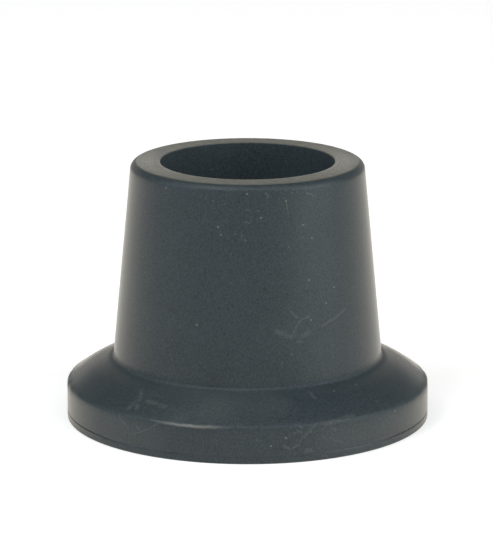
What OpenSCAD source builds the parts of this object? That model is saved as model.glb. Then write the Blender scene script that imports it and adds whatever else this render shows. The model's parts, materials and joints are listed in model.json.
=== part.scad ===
// Rubber tip for the leg of a shower chair, moulded in one piece: a tapered socket that presses over
// the end of the leg tube, on a wide flange with a flat sole.
// Millimetres, +Z up, with the origin at the middle of the sole.

/* [Socket] */
// Outside diameter of the leg tube, which fills the bore
tube_d = 28.6; // [22:0.1:38]
// Rubber between the end of the tube and the sole
floor_t = 10; // [6:0.5:20]
// Height from the sole to the rim
height = 43; // [32:0.5:60]
// Wall of the socket at the rim
rim_wall = 4.9; // [3.6:0.1:8]
// Wall of the socket where it runs into the flange
foot_wall = 8; // [5:0.1:12]
// Rounding of the rim's outer edge
rim_round = 1.3; // [0.4:0.1:3]
// Rounding of the bore's mouth
mouth_round = 0.2; // [0.1:0.05:0.6]
// Fillet round the bore's floor
floor_fillet = 1; // [0.2:0.1:3]

/* [Flange] */
// How far the flange reaches out past the foot of the socket
flange_reach = 7.7; // [4:0.1:14]
// Height of the flange's upright edge
edge_h = 6.1; // [3.5:0.1:10]
// Rise of the flange's sloping top, from that edge up to the socket
slope_rise = 4.1; // [2:0.1:8]
// How far the middle of the sloping top swells out of a straight line, before it is rounded
slope_swell = 0.5; // [0.2:0.05:0.8]
// Rounding of that swell
slope_round = 16; // [6:1:20]
// Fillet in the crease between socket and flange
crease_fillet = 0.6; // [0.2:0.1:2]
// Rounding of the flange's upper edge
edge_round = 0.8; // [0.2:0.1:1.5]
// Rounding of the sole's edge
sole_round = 0.3; // [0.1:0.05:0.4]

/* [Parting line] */
// Height of the mould's parting line above the sole
parting_h = 1.3; // [0.9:0.05:2]
// Width of the fine groove that it leaves round the flange
parting_w = 0.25; // [0.15:0.05:0.6]
// Depth of that groove
parting_depth = 0.1; // [0.05:0.05:0.4]

/* [Hidden] */
$fn = 128;
rubber = "#3f4649";

bore_r = tube_d / 2;
rim_r = bore_r + rim_wall;
foot_r = bore_r + foot_wall;
flange_r = foot_r + flange_reach;
crease_h = edge_h + slope_rise;
slope_mid = [(flange_r + foot_r) / 2, (edge_h + crease_h) / 2] + unit([slope_rise, flange_reach]) * slope_swell;

// How far the roundings' cuts and fills reach past the outline
overrun = 0.2;
// How far each rounding's arc runs past the straight lines it blends, so that it always meets them
bite = 0.001;

// Corners of the half section, from the middle of the sole round the outside and down the bore.
// Each is its place, as distance from the axis and height, and its rounding.
section = [
    [[0, 0], 0],
    [[flange_r, 0], sole_round],
    [[flange_r, parting_h - parting_w / 2], 0],
    [[flange_r - parting_depth, parting_h], 0],
    [[flange_r, parting_h + parting_w / 2], 0],
    [[flange_r, edge_h], edge_round],
    [slope_mid, slope_round],
    [[foot_r, crease_h], crease_fillet],
    [[rim_r, height], rim_round],
    [[bore_r, height], mouth_round],
    [[bore_r, floor_t], floor_fillet],
    [[0, floor_t], 0],
];

function unit(v) = v / norm(v);

// The outline runs with the rubber on its left, so a left turn is a corner that stands proud
function stands_proud(before, corner, after) = cross(corner - before, after - corner) > 0;

// Sliver between a sharp corner and the arc that rounds it, grown past the outline on its straight sides
module corner_sliver(before, corner, after, radius) {
    u = unit(before - corner);
    v = unit(after - corner);
    half_angle = acos(u * v) / 2;
    reach = radius / tan(half_angle);
    centre = corner + unit(u + v) * radius / sin(half_angle);
    growth = 1 + overrun / radius;
    kite = [corner + v * reach, corner, corner + u * reach];
    difference() {
        polygon([centre, for (point = kite) centre + (point - centre) * growth]);
        translate(centre) circle(radius + bite);
    }
}

// Slivers of the rounded corners that stand proud, or of those that are hollow
module corner_slivers(proud) {
    for (i = [1 : len(section) - 2]) {
        before = section[i - 1][0];
        corner = section[i][0];
        after = section[i + 1][0];
        radius = section[i][1];
        if (radius > 0 && stands_proud(before, corner, after) == proud)
            corner_sliver(before, corner, after, radius);
    }
}

// Half section of the tip: proud corners lose their sliver, and hollow ones gain it
module tip_section() {
    difference() {
        union() {
            polygon([for (point = section) point[0]]);
            corner_slivers(proud = false);
        }
        corner_slivers(proud = true);
    }
}

module leg_tip() {
    color(rubber) rotate_extrude() tip_section();
}

leg_tip();
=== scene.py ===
"""Moulded rubber tip for the leg of a shower chair, standing on a pale floor as the photograph shows it."""

import json
import math

import bpy
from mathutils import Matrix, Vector, noise


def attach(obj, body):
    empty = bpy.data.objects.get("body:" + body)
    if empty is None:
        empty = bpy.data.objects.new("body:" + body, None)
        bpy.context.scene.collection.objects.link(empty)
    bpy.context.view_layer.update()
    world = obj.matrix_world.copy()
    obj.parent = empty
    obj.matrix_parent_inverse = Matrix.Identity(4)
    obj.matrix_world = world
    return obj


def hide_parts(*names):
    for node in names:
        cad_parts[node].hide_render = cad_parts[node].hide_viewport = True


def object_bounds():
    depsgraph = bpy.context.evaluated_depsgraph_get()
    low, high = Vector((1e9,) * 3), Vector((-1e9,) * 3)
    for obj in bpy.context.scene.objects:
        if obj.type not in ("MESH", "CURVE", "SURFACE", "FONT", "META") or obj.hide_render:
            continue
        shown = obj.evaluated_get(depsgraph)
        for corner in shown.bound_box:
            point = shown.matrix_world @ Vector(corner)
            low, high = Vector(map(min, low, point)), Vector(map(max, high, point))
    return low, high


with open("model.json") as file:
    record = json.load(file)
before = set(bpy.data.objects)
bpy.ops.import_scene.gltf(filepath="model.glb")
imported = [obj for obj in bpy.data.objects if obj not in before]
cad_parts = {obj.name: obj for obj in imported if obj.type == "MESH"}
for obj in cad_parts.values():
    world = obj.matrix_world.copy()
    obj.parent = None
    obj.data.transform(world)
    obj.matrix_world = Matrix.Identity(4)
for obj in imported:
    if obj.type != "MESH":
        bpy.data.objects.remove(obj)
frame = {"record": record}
cad_low, cad_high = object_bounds()

MM = 0.001

# Sizes of the tip in millimetres. The outer ones come from the frame, and the rest follow the solid.
FLANGE_R = cad_high.x / MM
HEIGHT = cad_high.z / MM
BORE_R = next(m["dims"]["r_mm"] for m in frame["record"]["mounts"] if m["name"] == "socket_bore")
FLOOR_T = 10.0
RIM_WALL = 4.9
FOOT_WALL = 8.0
EDGE_H = 6.1
SLOPE_RISE = 4.1
SLOPE_SWELL = 0.5
SLOPE_ROUND = 16.0
RIM_ROUND = 1.3
MOUTH_ROUND = 0.2
FLOOR_FILLET = 1.0
CREASE_FILLET = 0.6
EDGE_ROUND = 0.8
SOLE_ROUND = 0.3
PARTING_H = 1.3
PARTING_W = 0.25
PARTING_DEPTH = 0.1

RIM_R = BORE_R + RIM_WALL
FOOT_R = BORE_R + FOOT_WALL
CREASE_H = EDGE_H + SLOPE_RISE
SLOPE_OUT = Vector((SLOPE_RISE, FLANGE_R - FOOT_R)).normalized()
SLOPE_MID = Vector(((FLANGE_R + FOOT_R) / 2, (EDGE_H + CREASE_H) / 2)) + SLOPE_OUT * SLOPE_SWELL

# Photograph's frame, and the camera that fits the tip's outline in it
PHOTO_W = 492
PHOTO_H = 550
FOCAL_PX = 3751
CAMERA_PLACE = (-0.26, -601.9, 172.4)
CAMERA_DIP_DEG = 13.88
SENSOR_MM = 36

# Marks that the photograph shows on the rubber, by pixel of its frame. Grains of dust are dots.
BRIGHT_SPECKS = [
    (286, 201), (309, 280), (334, 287), (221, 235), (197, 325), (303, 225),
    (218, 227), (247, 194), (312, 238), (326, 303), (286, 438), (334, 391),
    (356, 385), (395, 411), (261, 218), (311, 320), (166, 188), (271, 446),
]
FAINT_SPECKS = [
    (196, 192), (303, 237), (231, 254), (339, 274), (152, 234), (145, 273),
    (258, 211), (235, 234), (289, 247), (306, 333), (292, 354), (292, 193),
    (297, 192), (257, 440), (360, 437), (385, 427), (85, 420), (116, 439),
    (348, 380), (377, 383), (377, 401), (206, 197), (213, 201),
]

# The other marks are lines through a few pixels. The films and the haze are wide and faint, and they are
# painted light in the pale dust colour: the films are painted bounce light low on the flange's wall and
# painted lighter shading on the slope, and the haze is a painted sheen down the body right of the middle.
HAIRS = [
    [(244, 223), (246, 221), (250, 223)],
    [(241, 233), (242, 237), (246, 241)],
    [(266, 193), (269, 196), (267, 198)],
    [(307, 193), (314, 196)],
    [(286, 201), (288, 211)],
    [(303, 225), (307, 223)],
    [(246, 210), (250, 210)],
    [(282, 362), (281, 369)],
    [(200, 362), (205, 367)],
    [(119, 416), (126, 426), (135, 434), (148, 429), (159, 423)],
    [(136, 426), (141, 431)],
    [(303, 435), (299, 445), (293, 448)],
    [(292, 433), (297, 433)],
    [(328, 435), (334, 440), (349, 445)],
]
RUBS = [
    [(291, 312), (298, 318)],
    [(309, 316), (302, 319), (297, 325), (294, 332)],
    [(322, 326), (328, 322), (336, 317), (345, 309)],
    [(297, 342), (303, 342)],
    [(309, 430), (311, 432)],
    [(299, 426), (302, 428)],
    [(332, 428), (336, 430)],
    [(306, 449), (312, 451)],
    [(322, 455), (327, 457)],
    [(349, 417), (354, 415)],
    [(316, 424), (309, 431), (304, 438)],
    [(297, 430), (302, 433)],
    [(284, 446), (290, 449)],
    [(305, 452), (311, 449)],
    [(322, 436), (327, 440)],
]
SMEARS = [
    [(278, 332), (288, 336), (298, 337), (309, 333)],
    [(143, 389), (137, 408)],
    [(137, 402), (129, 408)],
    [(147, 401), (165, 406)],
    [(309, 392), (315, 398)],
    [(326, 424), (340, 420), (352, 415)],
]
# Painted light: wide pale films on the slope and the flange's wall
PAINTED_LIGHT_FILM = [
    [(330, 438), (370, 434), (400, 424), (422, 408)],
    [(115, 432), (150, 440)],
    [(160, 390), (176, 394), (192, 398)],
]
THICK_PAINTED_LIGHT_FILM = [
    [(213, 403), (232, 401), (252, 400), (277, 402)],
    [(408, 424), (420, 414)],
]
# Painted sheen: a faint haze down the body right of the middle
PAINTED_SHEEN_HAZE = [
    [(297, 212), (300, 250), (301, 305), (293, 328)],
]

# Pale streak along the flange's edge, partly wear and partly a painted highlight, with the pixel where it is
# strongest
WORN_EDGE_AND_HIGHLIGHT = [(138, 417), (160, 422), (180, 425), (200, 427), (234, 428)]
WORN_AND_HIGHLIGHT_MIDDLE = (188, 425)

# Parts of the rim's face that are painted darker: painted shade where it faces away from the light on the
# left
PAINTED_SHADE_ON_RIM = [
    [(163, 150), (159, 158), (161, 167)],
    [(346, 150), (356, 156), (358, 161), (355, 167)],
]


def linear(hex_colour):
    """Linear RGBA of an sRGB hex colour."""
    parts = [int(hex_colour[i:i + 2], 16) / 255 for i in (1, 3, 5)]
    return (*[p / 12.92 if p <= 0.04045 else ((p + 0.055) / 1.055) ** 2.4 for p in parts], 1)


def add_node(tree, kind, sockets=None, **settings):
    """Adds a node, sets its properties, and fills or links its input sockets by name or number."""
    made = tree.nodes.new(kind)
    for name, value in settings.items():
        setattr(made, name, value)
    for name, value in (sockets or {}).items():
        if isinstance(value, bpy.types.NodeSocket):
            tree.links.new(value, made.inputs[name])
        else:
            made.inputs[name].default_value = value
    return made


def new_material(name):
    """Empty node material, with the node that its surface goes to."""
    material = bpy.data.materials.new(name)
    material.use_nodes = True
    tree = material.node_tree
    tree.nodes.clear()
    return material, tree, add_node(tree, "ShaderNodeOutputMaterial")


def calc(tree, operation, *values):
    """Result of a sum on numbers or sockets."""
    return add_node(tree, "ShaderNodeMath", dict(enumerate(values)), operation=operation).outputs[0]


def vector_calc(tree, operation, *values):
    """Node of a sum on vectors. Its result is the first output, or Value where it is a number."""
    return add_node(tree, "ShaderNodeVectorMath", dict(enumerate(values)), operation=operation)


def fade(tree, value, start, end, at_start=0.0, at_end=1.0, shape="LINEAR"):
    """Number that goes from one level to another while a value goes from start to end."""
    return add_node(tree, "ShaderNodeMapRange", {
        "Value": value, "From Min": start, "From Max": end, "To Min": at_start, "To Max": at_end,
    }, interpolation_type=shape).outputs[0]


def blend(tree, share, first, second):
    """Colour between two others."""
    return add_node(tree, "ShaderNodeMixRGB", {"Fac": share, "Color1": first, "Color2": second}).outputs[0]


# Half section

# Longest straight pieces in millimetres: outside, where light shows them, and in the bore and on the sole
FINE_RUN = 0.6
COARSE_RUN = 2.5


def split_run(start, end, longest):
    """Points that split a straight run into equal pieces, from after its start to its end."""
    pieces = max(1, math.ceil((end - start).length / longest))
    return [start.lerp(end, (i + 1) / pieces) for i in range(pieces)]


def rounded_corner(before, corner, after, radius, steps):
    """Points of the arc that rounds a corner of the half section."""
    u = (before - corner).normalized()
    v = (after - corner).normalized()
    half_angle = u.angle(v) / 2
    centre = corner + (u + v).normalized() * radius / math.sin(half_angle)
    first = corner + u * radius / math.tan(half_angle) - centre
    last = corner + v * radius / math.tan(half_angle) - centre
    return [centre + first.slerp(last, i / steps) * radius for i in range(steps + 1)]


def half_section():
    """Points from the middle of the sole round the outside and down the bore.

    Each corner is its distance from the axis, its height, its rounding and the pieces of that rounding's arc.
    """
    corners = [
        (0, 0, 0, 0),
        (FLANGE_R, 0, SOLE_ROUND, 5),
        (FLANGE_R, PARTING_H - PARTING_W / 2, 0, 0),
        (FLANGE_R - PARTING_DEPTH, PARTING_H, 0, 0),
        (FLANGE_R, PARTING_H + PARTING_W / 2, 0, 0),
        (FLANGE_R, EDGE_H, EDGE_ROUND, 12),
        (*SLOPE_MID, SLOPE_ROUND, 10),
        (FOOT_R, CREASE_H, CREASE_FILLET, 12),
        (RIM_R, HEIGHT, RIM_ROUND, 14),
        (BORE_R, HEIGHT, MOUTH_ROUND, 5),
        (BORE_R, FLOOR_T, FLOOR_FILLET, 5),
        (0, FLOOR_T, 0, 0),
    ]
    places = [Vector((r, z)) for r, z, _, _ in corners]
    turned = [places[0]]
    for i in range(1, len(corners) - 1):
        _, _, radius, steps = corners[i]
        if radius:
            turned += rounded_corner(places[i - 1], places[i], places[i + 1], radius, steps)
        else:
            turned.append(places[i])
    turned.append(places[-1])
    split = [turned[0]]
    for start, end in zip(turned, turned[1:]):
        hidden = max(start.x, end.x) <= BORE_R + MOUTH_ROUND or max(start.y, end.y) <= 0
        split += split_run(start, end, COARSE_RUN if hidden else FINE_RUN)
    return split


# Turned mesh

# Points round each ring, the radius under which a ring is one point, and the angle that stays a sharp edge
AROUND = 480
ON_AXIS = 1e-6
SHARP_DEG = 35

# Uneven shrinkage, and wear of the flange's upper edge, with the size of their patches, in millimetres
SHRINK = 0.05
SHRINK_PATCH = 14.0
WEAR = 0.12
WEAR_PATCH = 3.0
WEAR_REACH = 0.9

# Share of the parting groove's depth that is filled right at the front, and how fast that falls off sideways
FRONT_FILL = 0.8
FRONT_FILL_POWER = 4


def settled(place):
    """Draws a point of the outside in a little, as rubber shrinks unevenly and its edge wears.

    The bottom of the parting groove is drawn out instead, where it is filled.
    """
    r = place.xy.length
    if r < BORE_R + MOUTH_ROUND or place.z < SOLE_ROUND:
        return place
    in_groove = abs(place.z - PARTING_H) < PARTING_W / 4
    frontness = max(0, -place.y / r) ** FRONT_FILL_POWER
    filled = PARTING_DEPTH * FRONT_FILL * frontness if in_groove else 0
    shrunk = SHRINK * (0.5 + 0.5 * noise.noise(place / SHRINK_PATCH))
    from_edge = math.hypot(FLANGE_R - r, EDGE_H - place.z)
    worn = WEAR * max(0, noise.noise(place / WEAR_PATCH)) * math.exp(-(from_edge / WEAR_REACH) ** 2)
    return place - place.xy.to_3d() / r * (shrunk + worn - filled) - Vector((0, 0, worn))


def turned_mesh(name, section):
    """Mesh of the half section turned about the socket's axis. A ring on the axis is one point."""
    vertices = []
    rows = []
    for r, z in section:
        if r < ON_AXIS:
            rows.append([len(vertices)])
            vertices.append((0, 0, z * MM))
            continue
        rows.append(range(len(vertices), len(vertices) + AROUND))
        for i in range(AROUND):
            turn = math.tau * i / AROUND
            vertices.append(settled(Vector((r * math.cos(turn), r * math.sin(turn), z))) * MM)
    faces = []
    for lower, upper in zip(rows, rows[1:]):
        for i in range(AROUND):
            ring = [
                lower[i % len(lower)], lower[(i + 1) % len(lower)],
                upper[(i + 1) % len(upper)], upper[i % len(upper)],
            ]
            faces.append(list(dict.fromkeys(ring)))
    mesh = bpy.data.meshes.new(name)
    mesh.from_pydata(vertices, [], faces)
    mesh.shade_smooth()
    mesh.set_sharp_from_angle(angle=math.radians(SHARP_DEG))
    return mesh


# Camera

def photo_camera():
    """Camera at the photograph's place, with the photograph's angle of view."""
    data = bpy.data.cameras.new("photo_camera")
    data.sensor_width = SENSOR_MM
    data.lens = SENSOR_MM * FOCAL_PX / max(PHOTO_W, PHOTO_H)
    made = bpy.data.objects.new("photo_camera", data)
    made.location = Vector(CAMERA_PLACE) * MM
    made.rotation_euler = (math.radians(90 - CAMERA_DIP_DEG), 0, 0)
    bpy.context.scene.collection.objects.link(made)
    bpy.context.scene.camera = made
    return made


camera = photo_camera()
tip_mesh = turned_mesh("rubber_leg_tip", half_section())
tip = bpy.data.objects.new("rubber_leg_tip", tip_mesh)
bpy.context.scene.collection.objects.link(tip)
bpy.context.view_layer.update()


# Rubber

# Sizes of its patterns in millimetres
MOTTLE = 6.0
PATCH = 1.2
GRAIN = 0.3
PORE_DEPTH = 0.02
RING = 0.35

# Weight of the mottle beside the grain, and the sums of noise that give the darkest and the palest tone, of
# the slate and of the rim's painted sheen
MOTTLE_SHARE = 0.2
SLATE_TONES = (0.28, 0.92)
RIM_SHEEN_TONES = (0.7, 1.3)

# Reach in millimetres of what lies along a ring of the tip, and where the slope is painted paler under the
# crease, partly dust that settles there and partly painted light against the shade by the crease
CREASE_REACH = 1.4
EDGE_REACH = 1.5
SHOULDER_REACH = 2.2
DUST_AND_LIGHT_RING_OUT = 1.5
DUST_AND_LIGHT_RING_REACH = 2.2
DUST_AND_LIGHT_RING_COVER = 0.02

# Where the trimmed face begins and is whole, in millimetres under the rim's top, and where the bore's face
# does, in millimetres outside the bore's radius
TRIM_BEGINS = 0.08
TRIM_WHOLE = 0.02
CORE_BEGINS = 0.1
CORE_WHOLE = 0.05

# Shine: roughness face on and along the surface, the view weight up to which it counts as face on, and how
# far trimming stretches highlights, and which way in turns
ROUGH_FACE_ON = 0.42
ROUGH_ALONG = 0.2
FACE_ON_LIMIT = 0.3
TRIM_STRETCH = 0.8
TRIM_STRETCH_TURN = 0.25

# Marks: the longest straight piece of a line in pixels, how far lines waver in millimetres, and the levels of
# noise between which they fade in
LONGEST_RUN_PX = 9
LINE_WAVER = 0.4
LINE_BREAKS = (0.3, 0.55)

# Random dust: its spacing in millimetres, a grain's radius as a share of that, and its cover on the near and
# the far side, which begin at these depths in millimetres
DUST_SPACING = 1.8
DUST_RADIUS_SHARE = 0.08
NEAR_SIDE = -5
FAR_SIDE = 8
NEAR_COVER = 0.1
FAR_COVER = 0.3


def on_rubber(pixel):
    """Place on the tip that a pixel of the photograph shows."""
    x, y = pixel
    aim = camera.matrix_world.to_3x3() @ Vector((x - PHOTO_W / 2, PHOTO_H / 2 - y, -FOCAL_PX))
    _, place, _, _ = tip.ray_cast(camera.matrix_world.translation, aim.normalized())
    return place


def distance_to_run(tree, place, start, end):
    """Distance from a place to the straight run between two others."""
    run = end - start
    if run.length == 0:
        return vector_calc(tree, "DISTANCE", place, start).outputs["Value"]
    offset = vector_calc(tree, "SUBTRACT", place, start).outputs[0]
    along = vector_calc(tree, "DOT_PRODUCT", offset, run / run.length_squared).outputs["Value"]
    share = add_node(tree, "ShaderNodeClamp", {"Value": along}).outputs[0]
    foot = add_node(tree, "ShaderNodeVectorMath", {0: run, "Scale": share}, operation="SCALE").outputs[0]
    return vector_calc(tree, "DISTANCE", offset, foot).outputs["Value"]


def marks_cover(tree, place, marks, half_width, cover):
    """Share of the rubber that some marks cover, fading out at their half width in millimetres."""
    nearest = None
    for pixels in marks:
        corners = [Vector(pixel) for pixel in pixels]
        path = corners[:1]
        for start, end in zip(corners, corners[1:]):
            path += split_run(start, end, LONGEST_RUN_PX)
        spots = [on_rubber(pixel) for pixel in path]
        for start, end in zip(spots, spots[1:] or spots):
            distance = distance_to_run(tree, place, start, end)
            nearest = calc(tree, "MINIMUM", nearest, distance) if nearest else distance
    return fade(tree, nearest, 0.0, half_width * MM, cover, 0.0, "SMOOTHSTEP")


def pattern(tree, place, size, detail):
    """Noise whose patches are about so many millimetres across."""
    return add_node(tree, "ShaderNodeTexNoise", {"Vector": place, "Scale": 1 / (size * MM), "Detail": detail})


def near_ring(tree, section, radius, height, reach):
    """Share that falls from 1 at a ring round the axis to 0 at its reach, in millimetres."""
    distance = vector_calc(tree, "DISTANCE", section, (radius * MM, height * MM, 0)).outputs["Value"]
    return fade(tree, distance, reach * MM, 0.0, shape="SMOOTHSTEP")


def scattered_dust(tree, place):
    """Share that random grains cover. They show most on the far side, as the near one has its own marks."""
    grains = add_node(tree, "ShaderNodeTexVoronoi", {"Vector": place, "Scale": 1 / (DUST_SPACING * MM)})
    dots = fade(tree, grains.outputs["Distance"], DUST_RADIUS_SHARE, 0.0)
    depth = add_node(tree, "ShaderNodeSeparateXYZ", {0: place}).outputs["Y"]
    cover = fade(tree, depth, NEAR_SIDE * MM, FAR_SIDE * MM, NEAR_COVER, FAR_COVER)
    return calc(tree, "MULTIPLY", dots, cover)


def dust_and_painted_light_marks(tree, place, patches):
    """Share of the rubber that dust, lint and rub marks cover, with the painted light of the films, the haze
    and the edge's highlight. Lines waver and break up by the patches.
    """
    jitter = vector_calc(tree, "SUBTRACT", patches.outputs["Color"], (0.5, 0.5, 0.5)).outputs[0]
    reach = (LINE_WAVER * MM, LINE_WAVER * MM, LINE_WAVER * MM)
    wavered = vector_calc(tree, "MULTIPLY_ADD", jitter, reach, place).outputs[0]
    broken = fade(tree, patches.outputs["Fac"], *LINE_BREAKS)
    hairs = marks_cover(tree, wavered, HAIRS, half_width=0.18, cover=0.13)
    smears = marks_cover(tree, wavered, SMEARS, half_width=0.8, cover=0.075)
    # Wear and painted highlight: the pale streak along the flange's front edge
    edge = marks_cover(tree, wavered, [WORN_EDGE_AND_HIGHLIGHT], half_width=0.4, cover=0.45)
    middle = marks_cover(tree, place, [[WORN_AND_HIGHLIGHT_MIDDLE]], half_width=8.0, cover=1.0)
    layers = [
        marks_cover(tree, place, [[speck] for speck in BRIGHT_SPECKS], half_width=0.25, cover=0.36),
        marks_cover(tree, place, [[speck] for speck in FAINT_SPECKS], half_width=0.2, cover=0.16),
        marks_cover(tree, wavered, RUBS, half_width=0.35, cover=0.075),
        # Painted light: the films and the haze lighten where more light falls
        marks_cover(tree, place, PAINTED_LIGHT_FILM, half_width=4.5, cover=0.034),
        marks_cover(tree, place, THICK_PAINTED_LIGHT_FILM, half_width=5.0, cover=0.042),
        marks_cover(tree, place, PAINTED_SHEEN_HAZE, half_width=4.0, cover=0.01),
        calc(tree, "MULTIPLY", edge, middle),
        scattered_dust(tree, place),
    ]
    dust_and_painted_light = calc(tree, "MULTIPLY", calc(tree, "MAXIMUM", hairs, smears), broken)
    for layer in layers:
        dust_and_painted_light = calc(tree, "MAXIMUM", dust_and_painted_light, layer)
    return dust_and_painted_light


def moulded_rubber():
    """Slate rubber as it left the mould, dull face on and glossy seen along it, with dust and lint on it.

    The mottle and grain keep the dark face from looking like plastic. The grain is coarser than the real
    pores, which are too fine to show at this size. The rim's top face is painted paler with fine rings in it,
    mostly a painted sheen of the pale room seen along it, with painted shade where it faces away from the
    light on the left. The films and the haze are painted light, and the streak on the flange's front edge is
    partly wear and partly a painted highlight. Rubbed edges, the dusty crease and the bore are duller than
    the rest.
    """
    material, tree, output = new_material("moulded_rubber")
    place = add_node(tree, "ShaderNodeTexCoord").outputs["Object"]
    mottle = pattern(tree, place, MOTTLE, detail=3.0).outputs["Fac"]
    grain = pattern(tree, place, GRAIN, detail=1.0).outputs["Fac"]
    patches = pattern(tree, place, PATCH, detail=2.0)

    height = add_node(tree, "ShaderNodeSeparateXYZ", {0: place}).outputs["Z"]
    across = vector_calc(tree, "MULTIPLY", place, (1, 1, 0)).outputs[0]
    radius = vector_calc(tree, "LENGTH", across).outputs["Value"]
    section = add_node(tree, "ShaderNodeCombineXYZ", {"X": radius, "Y": height}).outputs[0]
    # Paler ring on the slope under the crease: partly dust, partly painted light that lifts the shade there
    under_crease = CREASE_H - DUST_AND_LIGHT_RING_OUT * SLOPE_RISE / (FLANGE_R - FOOT_R)
    dust_and_light_ring = near_ring(tree, section, FOOT_R + DUST_AND_LIGHT_RING_OUT, under_crease, DUST_AND_LIGHT_RING_REACH)
    ring_dust_and_light = calc(tree, "MULTIPLY", dust_and_light_ring, DUST_AND_LIGHT_RING_COVER)
    dust_and_painted_light = calc(tree, "MAXIMUM", dust_and_painted_light_marks(tree, place, patches), ring_dust_and_light)
    crease = near_ring(tree, section, FOOT_R, CREASE_H, CREASE_REACH)
    edge = near_ring(tree, section, FLANGE_R, EDGE_H, EDGE_REACH)
    shoulder = near_ring(tree, section, RIM_R, HEIGHT, SHOULDER_REACH)
    rim_top_face = fade(tree, height, (HEIGHT - TRIM_BEGINS) * MM, (HEIGHT - TRIM_WHOLE) * MM)
    cored = fade(tree, radius, (BORE_R + CORE_BEGINS) * MM, (BORE_R + CORE_WHOLE) * MM)

    tone = fade(tree, calc(tree, "MULTIPLY_ADD", mottle, MOTTLE_SHARE, grain), *SLATE_TONES)
    slate = blend(tree, tone, linear("#19242a"), linear("#39454b"))
    rings = add_node(tree, "ShaderNodeTexNoise", {
        "W": radius, "Scale": 1 / (RING * MM), "Detail": 1.0,
    }, noise_dimensions="1D").outputs["Fac"]
    # The rim's top face is painted paler, mostly a painted sheen of the pale room it is seen along
    rim_sheen_tone = fade(tree, calc(tree, "ADD", rings, patches.outputs["Fac"]), *RIM_SHEEN_TONES)
    rim = blend(tree, rim_sheen_tone, linear("#4d4f4a"), linear("#68685f"))
    # Painted shade takes the paler rim back where it faces away from the light on the left
    painted_rim_shade = marks_cover(tree, place, PAINTED_SHADE_ON_RIM, half_width=1.8, cover=0.6)
    painted_rim_sheen_share = calc(tree, "MULTIPLY", rim_top_face, calc(tree, "SUBTRACT", 1.0, painted_rim_shade))
    moulded = blend(tree, painted_rim_sheen_share, slate, rim)
    # Pale dust colour, which also carries the painted light of the films, the haze, the edge's highlight and
    # the ring under the crease
    base_with_dust_and_painted_light = blend(tree, dust_and_painted_light, moulded, linear("#b4b1a7"))

    facing = add_node(tree, "ShaderNodeLayerWeight", {"Blend": 0.5}).outputs["Facing"]
    roughness = fade(tree, facing, FACE_ON_LIMIT, 1.0, ROUGH_FACE_ON, ROUGH_ALONG)
    dulled = ((dust_and_painted_light, 0.5), (crease, 0.22), (edge, 0.15), (shoulder, 0.1), (cored, 0.4))
    for share, added_roughness in dulled:
        roughness = calc(tree, "MULTIPLY_ADD", share, added_roughness, roughness)
    around = add_node(tree, "ShaderNodeTangent", direction_type="RADIAL", axis="Z").outputs[0]
    pores = add_node(tree, "ShaderNodeBump", {"Height": grain, "Strength": 0.3, "Distance": PORE_DEPTH * MM})
    shader = add_node(tree, "ShaderNodeBsdfPrincipled", {
        "Base Color": base_with_dust_and_painted_light,
        "Roughness": roughness,
        "Anisotropic": calc(tree, "MULTIPLY", rim_top_face, TRIM_STRETCH),
        "Anisotropic Rotation": TRIM_STRETCH_TURN,
        "Tangent": around,
        "Normal": pores.outputs[0],
        "IOR": 1.5,
    })
    tree.links.new(shader.outputs["BSDF"], output.inputs["Surface"])
    return material


tip_mesh.materials.append(moulded_rubber())
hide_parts("leg_tip")
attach(tip, "root")


# Stage

# Half the floor's width and the lamps' distance in metres, and the floor's gap under the sole in millimetres
FLOOR_HALF_M = 3.0
LAMP_AWAY_M = 1.2
FLOOR_DROP = 0.02

# Sides of the pale panel: an axis of the way that a ray goes, and where along it the panel ends and is whole
PANEL_SIDES = (("Y", 0.2, 0.9), ("Z", 0.04, 0.11), ("Z", 0.32, 0.17))


def pale_floor():
    """Wide pale floor, just under the sole. What looks at it sees it white, with the tip's shadow left in."""
    half = FLOOR_HALF_M
    top = -FLOOR_DROP * MM
    mesh = bpy.data.meshes.new("pale_floor")
    corners = [(-half, -half, top), (half, -half, top), (half, half, top), (-half, half, top)]
    mesh.from_pydata(corners, [], [(0, 1, 2, 3)])
    material, tree, output = new_material("pale_floor")
    matte = add_node(tree, "ShaderNodeBsdfDiffuse", {"Color": linear("#dcdcdc")}).outputs[0]
    rays = add_node(tree, "ShaderNodeLightPath").outputs
    mirrored = calc(tree, "MAXIMUM", rays["Is Glossy Ray"], rays["Is Transmission Ray"])
    looking = calc(tree, "MAXIMUM", rays["Is Camera Ray"], mirrored)
    white = add_node(tree, "ShaderNodeEmission", {"Color": linear("#ffffff"), "Strength": 0.56}).outputs[0]
    warm = add_node(tree, "ShaderNodeEmission", {"Color": linear("#fff1da"), "Strength": 0.6}).outputs[0]
    glow = add_node(tree, "ShaderNodeMixShader", {0: rays["Is Camera Ray"], 1: warm, 2: white}).outputs[0]
    lit = add_node(tree, "ShaderNodeAddShader", {0: matte, 1: glow}).outputs[0]
    both = add_node(tree, "ShaderNodeMixShader", {0: looking, 1: matte, 2: lit}).outputs[0]
    tree.links.new(both, output.inputs["Surface"])
    mesh.materials.append(material)
    made = bpy.data.objects.new("pale_floor", mesh)
    bpy.context.scene.collection.objects.link(made)


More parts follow.
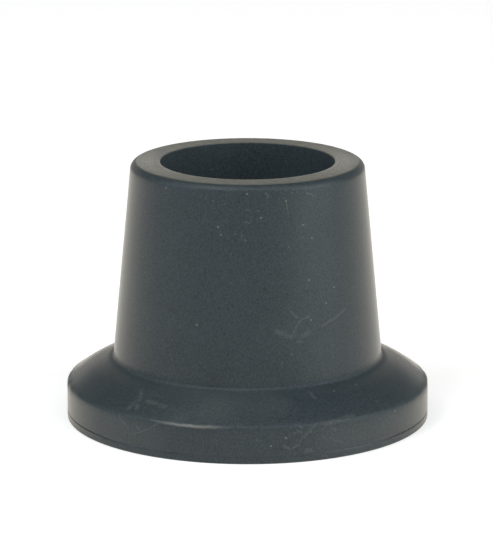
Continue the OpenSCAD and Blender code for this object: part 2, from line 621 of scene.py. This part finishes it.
def studio_world():
    """Dim room with a pale panel behind the tip, just over the horizon. The camera sees white all round."""
    world = bpy.data.worlds.new("studio")
    world.use_nodes = True
    tree = world.node_tree
    tree.nodes.clear()
    way = add_node(tree, "ShaderNodeTexCoord").outputs["Generated"]
    parts = add_node(tree, "ShaderNodeSeparateXYZ", {0: way}).outputs
    panel = None
    for axis, outside, inside in PANEL_SIDES:
        side = fade(tree, parts[axis], outside, inside, shape="SMOOTHSTEP")
        panel = calc(tree, "MULTIPLY", panel, side) if panel else side
    room = add_node(tree, "ShaderNodeBackground", {"Color": linear("#fff9f0"), "Strength": 0.22}).outputs[0]
    pale = add_node(tree, "ShaderNodeBackground", {"Color": linear("#fffaf2"), "Strength": 0.78}).outputs[0]
    white = add_node(tree, "ShaderNodeBackground", {"Color": linear("#ffffff"), "Strength": 1.0}).outputs[0]
    lit = add_node(tree, "ShaderNodeMixShader", {0: panel, 1: room, 2: pale}).outputs[0]
    rays = add_node(tree, "ShaderNodeLightPath").outputs
    seen = add_node(tree, "ShaderNodeMixShader", {0: rays["Is Camera Ray"], 1: lit, 2: white}).outputs[0]
    output = add_node(tree, "ShaderNodeOutputWorld")
    tree.links.new(seen, output.inputs["Surface"])
    bpy.context.scene.world = world


def softbox(name, turn_deg, rise_deg, wide, tall, watts, colour):
    """Soft lamp that faces the tip, turned right from the front and raised. The camera doesn't see it."""
    data = bpy.data.lights.new(name, "AREA")
    data.shape = "RECTANGLE"
    data.size = wide
    data.size_y = tall
    data.energy = watts
    data.color = linear(colour)[:3]
    turn = math.radians(turn_deg)
    rise = math.radians(rise_deg)
    way = Vector((math.sin(turn) * math.cos(rise), -math.cos(turn) * math.cos(rise), math.sin(rise)))
    made = bpy.data.objects.new(name, data)
    made.location = Vector((0, 0, HEIGHT / 2 * MM)) + way * LAMP_AWAY_M
    made.rotation_euler = way.to_track_quat("Z", "Y").to_euler()
    made.visible_camera = False
    bpy.context.scene.collection.objects.link(made)


pale_floor()
studio_world()
softbox("key_softbox", turn_deg=-36, rise_deg=46, wide=0.32, tall=0.3, watts=2.9, colour="#f4f9ff")
softbox("high_left_softbox", turn_deg=-65, rise_deg=64, wide=0.5, tall=0.5, watts=2.1, colour="#fffbf2")
softbox("front_high_softbox", turn_deg=0, rise_deg=64, wide=0.5, tall=0.5, watts=1.1, colour="#fffbf2")
softbox("front_right_softbox", turn_deg=33, rise_deg=46, wide=0.5, tall=0.5, watts=1.9, colour="#f4f9ff")
softbox("left_softbox", turn_deg=-74, rise_deg=26, wide=0.5, tall=0.5, watts=2.6, colour="#cdeeff")
softbox("right_softbox", turn_deg=68, rise_deg=22, wide=0.8, tall=0.8, watts=6.2, colour="#f0fcff")
bpy.context.scene.view_settings.view_transform = "Standard"
